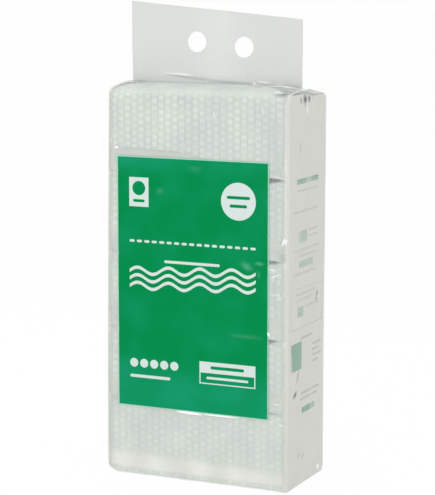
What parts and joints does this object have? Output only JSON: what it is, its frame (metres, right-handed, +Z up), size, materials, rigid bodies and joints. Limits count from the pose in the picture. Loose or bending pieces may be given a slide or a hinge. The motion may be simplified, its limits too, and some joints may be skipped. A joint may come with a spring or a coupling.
{
  "type": "pack of kitchen paper towels",
  "caption": "Tall clear film bag of stacked folded kitchen paper towels, with a green printed label and a sealed hanging tab with punched holes.",
  "frame": {"origin": "middle of the base that the pack stands on", "axes": "+Z up towards the hanging tab, +X to the right along the labelled front, +Y from the front to the back"},
  "size_m": [0.2028, 0.1008, 0.4886],
  "materials": {
    "clear_film": "clear glossy polyethylene film, slightly milky",
    "towel_paper": "embossed white tissue, matt",
    "green_ink": "green printing ink under glossy film",
    "white_ink": "white printing ink under glossy film",
    "side_green_ink": "thin green printing ink on film",
    "side_grey_ink": "thin grey printing ink on film"
  },
  "bodies": {
    "root": {"film_bag": "clear_film", "bundle_1": "towel_paper", "bundle_2": "towel_paper", "bundle_3": "towel_paper", "bundle_4": "towel_paper", "bundle_5": "towel_paper", "front_print_green": "green_ink", "front_print_white": "white_ink", "side_print_green": "side_green_ink", "side_print_grey": "side_grey_ink"}
  },
  "joints": []
}
